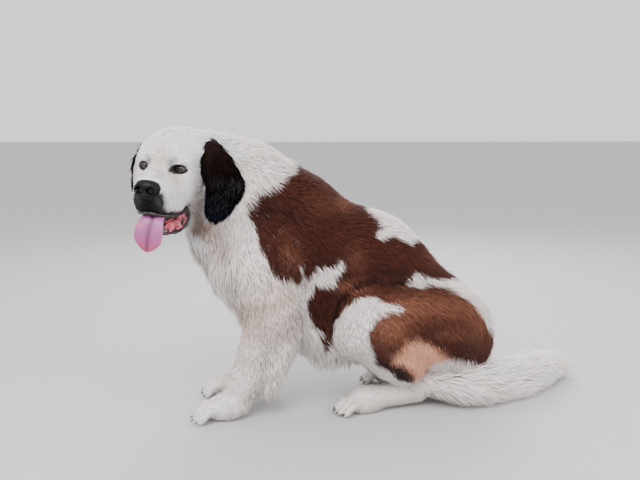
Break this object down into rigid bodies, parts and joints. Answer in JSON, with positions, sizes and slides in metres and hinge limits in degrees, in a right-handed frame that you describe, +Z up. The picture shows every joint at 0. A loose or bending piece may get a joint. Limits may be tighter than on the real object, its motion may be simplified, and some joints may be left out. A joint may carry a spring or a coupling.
{
  "type": "saint bernard figure",
  "caption": "Life-size still figure of a sitting Saint Bernard, brown and white, with its head turned to its left, mouth open and tongue out.",
  "frame": {"origin": "bottom centre of the whole figure's box, on the floor", "axes": "+Z up, +X towards the tail, so the dog faces -X and its left side is towards -Y"},
  "size_m": [1.4192, 0.5624, 0.8427],
  "materials": {
    "coat_white": "matte",
    "coat_brown": "matte",
    "coat_black": "satin",
    "nose": "satin",
    "tongue": "satin",
    "eye": "gloss"
  },
  "bodies": {
    "root": {"head": "coat_white", "lower_jaw": "coat_white", "nose": "nose", "tongue": "tongue", "eye_left": "eye", "eye_right": "eye", "ear_left": "coat_black", "ear_right": "coat_black", "neck": "coat_white", "torso": "coat_brown", "rump": "coat_brown", "foreleg_left": "coat_white", "forepaw_left": "coat_white", "thigh_left": "coat_brown", "shank_left": "coat_white", "hindpaw_left": "coat_white", "foreleg_right": "coat_white", "forepaw_right": "coat_white", "thigh_right": "coat_brown", "shank_right": "coat_white", "hindpaw_right": "coat_white", "tail_1": "coat_white", "tail_2": "coat_white", "tail_3": "coat_white"}
  },
  "joints": []
}
